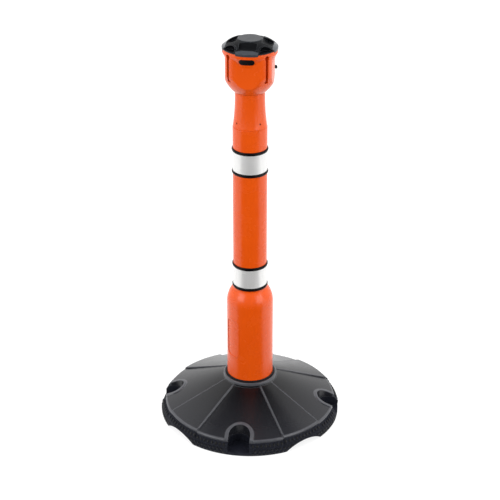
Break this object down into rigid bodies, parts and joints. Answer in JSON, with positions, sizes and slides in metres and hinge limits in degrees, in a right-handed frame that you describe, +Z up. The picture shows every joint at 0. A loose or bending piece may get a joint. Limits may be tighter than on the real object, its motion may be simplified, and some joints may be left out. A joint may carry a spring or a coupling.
{
  "type": "barrier post",
  "caption": "Free-standing orange crowd-barrier post: weighted round base, reflective bands and a head with a spring-wound tape, keyhole slots and a lock button.",
  "frame": {"origin": "on the floor under the middle of the base", "axes": "+Z up along the post, -Y towards the lock button, the tape leaves towards +X +Y"},
  "size_m": [0.4679, 0.4678, 1.0328],
  "materials": {
    "base_rubber": "recycled rubber, dull, with moulded nubs on the side",
    "cover_plastic": "dark grey grained plastic",
    "socket_plastic": "moulded black plastic",
    "seal_rubber": "soft black rubber",
    "ring_black": "black plastic",
    "orange_plastic": "satin orange plastic, coloured through",
    "reflective_film": "silver-white retroreflective film",
    "cap_plastic": "black plastic with a fine grain",
    "steel": "zinc-plated steel",
    "spring_steel": "blued spring steel",
    "reel_plastic": "natural nylon",
    "tape_fabric": "woven polyester tape with red and white stripes"
  },
  "bodies": {
    "base": {"base_weight": "base_rubber", "base_cover": "cover_plastic", "socket_cup": "socket_plastic", "socket_seal": "seal_rubber", "cup_screws": "steel", "cover_screws": "steel"},
    "post": {"post_sleeve": "orange_plastic", "post_tube": "orange_plastic", "foot_plug": "socket_plastic", "upper_reflective_band": "reflective_film", "lower_reflective_band": "reflective_film", "band_ring_1": "ring_black", "band_ring_2": "ring_black", "band_ring_3": "ring_black", "band_ring_4": "ring_black", "neck_joiner": "socket_plastic", "neck": "orange_plastic", "neck_screws": "steel"},
    "head": {"head_shell": "orange_plastic", "cap": "cap_plastic", "spindle": "steel", "spindle_clip": "steel", "thrust_washer": "reel_plastic", "spring_case": "reel_plastic", "spring_cover": "reel_plastic", "recoil_spring": "spring_steel", "tape_lead": "tape_fabric", "button_spring": "spring_steel"},
    "reel": {"spool": "reel_plastic", "spool_lid": "reel_plastic", "tape_roll": "tape_fabric"},
    "tape_bar": {"tape_end": "cap_plastic"},
    "lock": {"lock_button": "cap_plastic", "brake_shoe": "seal_rubber"}
  },
  "joints": [
    {"name": "post_lift", "type": "slide", "parent": "base", "child": "post", "axis": [0, 0, 1], "range_m": [0, 0.12]},
    {"name": "head_lift", "type": "slide", "parent": "post", "child": "head", "axis": [0, 0, 1], "range_m": [0, 0.07]},
    {"name": "spool_spin", "type": "hinge", "parent": "head", "child": "reel", "pos_m": [0, 0, 0.95], "axis": [0, 0, 1], "range_deg": [0, 3015], "stiffness_Nm_per_rad": 0.004, "springref_deg": -1432.39},
    {"name": "tape_pull", "type": "slide", "parent": "head", "child": "tape_bar", "axis": [0.7071, 0.7071, 0], "range_m": [0, 2]},
    {"name": "lock_press", "type": "slide", "parent": "head", "child": "lock", "axis": [0, 1, 0], "range_m": [0, 0.003], "stiffness_N_per_m": 800, "springref_m": -0.001, "deforming": ["button_spring"]}
  ],
  "couplings": [
    {"joint": "tape_pull", "follows": "spool_spin", "m_per_rad": 0.038}
  ]
}
